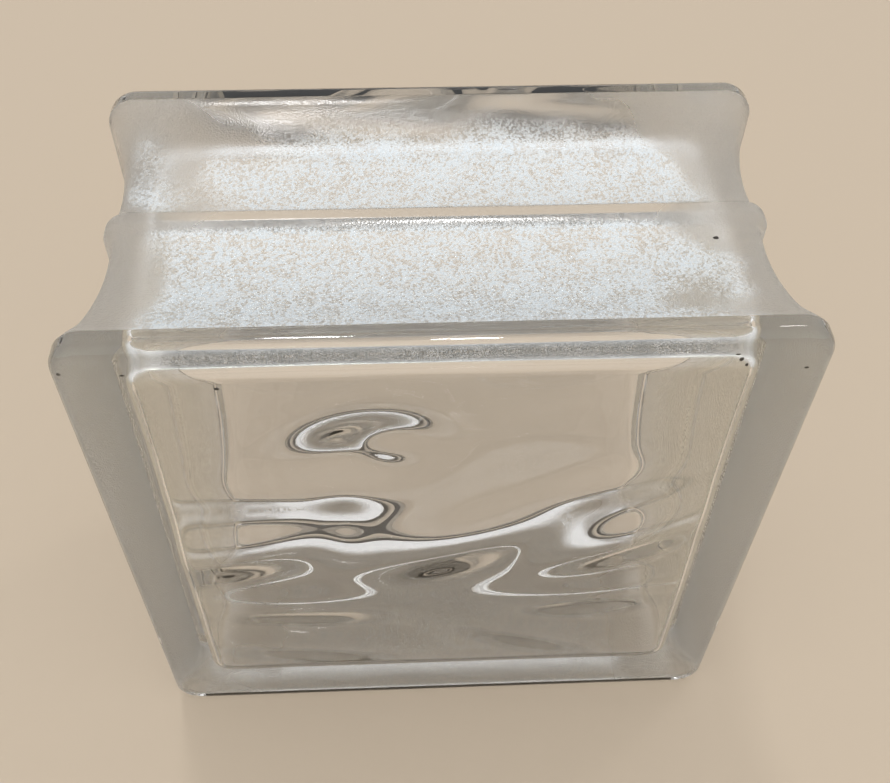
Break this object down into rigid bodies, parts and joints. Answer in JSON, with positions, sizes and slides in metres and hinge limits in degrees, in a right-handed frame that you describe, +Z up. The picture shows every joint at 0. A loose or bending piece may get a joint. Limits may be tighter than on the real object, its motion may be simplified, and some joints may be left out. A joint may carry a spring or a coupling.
{
  "type": "glass block",
  "caption": "Square hollow glass block with waved clear faces, rounded rims and a mortar channel with a centre rib round its frosted edges.",
  "frame": {"origin": "middle of the footprint, on the plane that the lower rims stand on", "axes": "+X across the face, +Y through the block from the front face to the back face, +Z up"},
  "size_m": [0.146, 0.0794, 0.1461],
  "materials": {
    "glass": "clear pressed glass faces, edges coated with a rough clear key for mortar"
  },
  "bodies": {
    "root": {"glass_block": "glass"}
  },
  "joints": []
}
